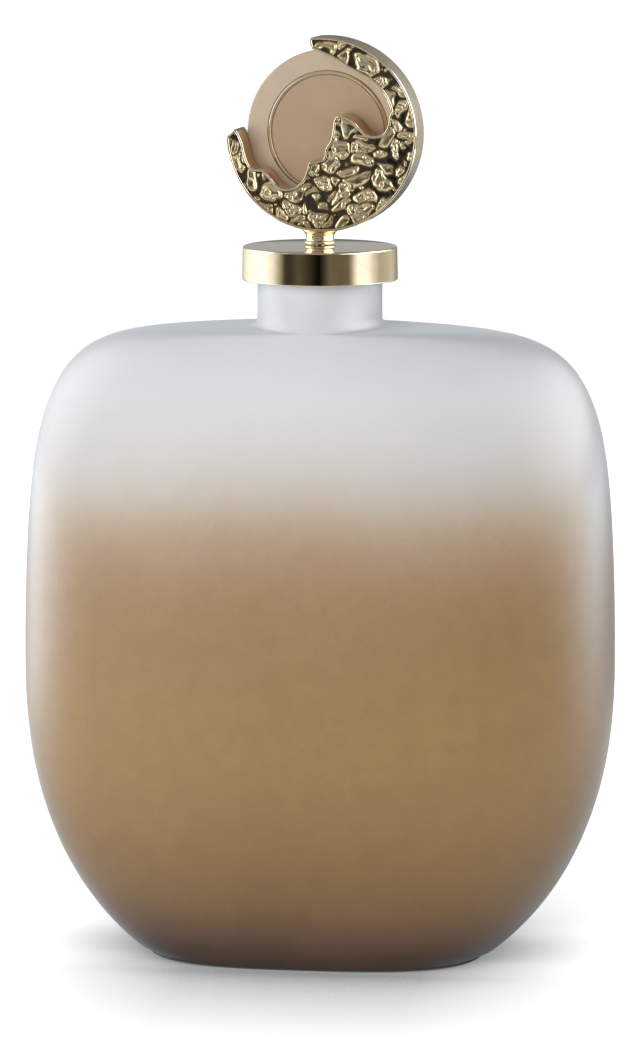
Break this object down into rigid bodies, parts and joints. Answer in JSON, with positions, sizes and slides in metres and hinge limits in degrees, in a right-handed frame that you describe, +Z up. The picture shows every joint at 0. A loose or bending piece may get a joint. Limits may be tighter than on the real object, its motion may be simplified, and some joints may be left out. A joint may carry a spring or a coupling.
{
  "type": "decorative jar",
  "caption": "Flattened frosted glass flask with a short neck and a lift-off metal stopper topped by a crescent and round disc finial.",
  "frame": {"origin": "centre of the base, on the surface that the jar stands on", "axes": "+Z up along the neck, -Y out of the broad front face, +X to the right of someone facing the front"},
  "size_m": [0.2532, 0.12, 0.393],
  "materials": {
    "frosted_glass": "satin frosted glass, sprayed from silvery white at the top to bronze brown below",
    "polished_gold": "polished light gold plate",
    "champagne_satin": "satin champagne plate",
    "tan_inlay": "satin tan enamel",
    "plain_steel": "zinc plated",
    "white_plug": "moulded, matte",
    "clear_silicone": "milky clear silicone"
  },
  "bodies": {
    "jar": {"glass_bottle": "frosted_glass"},
    "seals": {"rim_gasket": "clear_silicone", "stopper_seal_upper": "clear_silicone", "stopper_seal_lower": "clear_silicone"},
    "lid": {"stopper_plug": "white_plug", "stopper_washer": "plain_steel", "stopper_screw": "plain_steel", "lid_cap": "polished_gold", "stem_collar": "polished_gold", "crescent_casting": "polished_gold", "moon_disc": "champagne_satin", "moon_inlay": "tan_inlay", "moon_bezel_ring": "polished_gold", "disc_screw_1": "plain_steel", "disc_screw_2": "plain_steel", "disc_screw_3": "plain_steel"}
  },
  "joints": [
    {"name": "lid_lift", "type": "slide", "parent": "jar", "child": "seals", "axis": [0, 0, 1], "range_m": [0, 0.12]},
    {"name": "lid_turn", "type": "hinge", "parent": "seals", "child": "lid", "pos_m": [0, 0, 0.3], "axis": [0, 0, 1], "continuous": true}
  ]
}
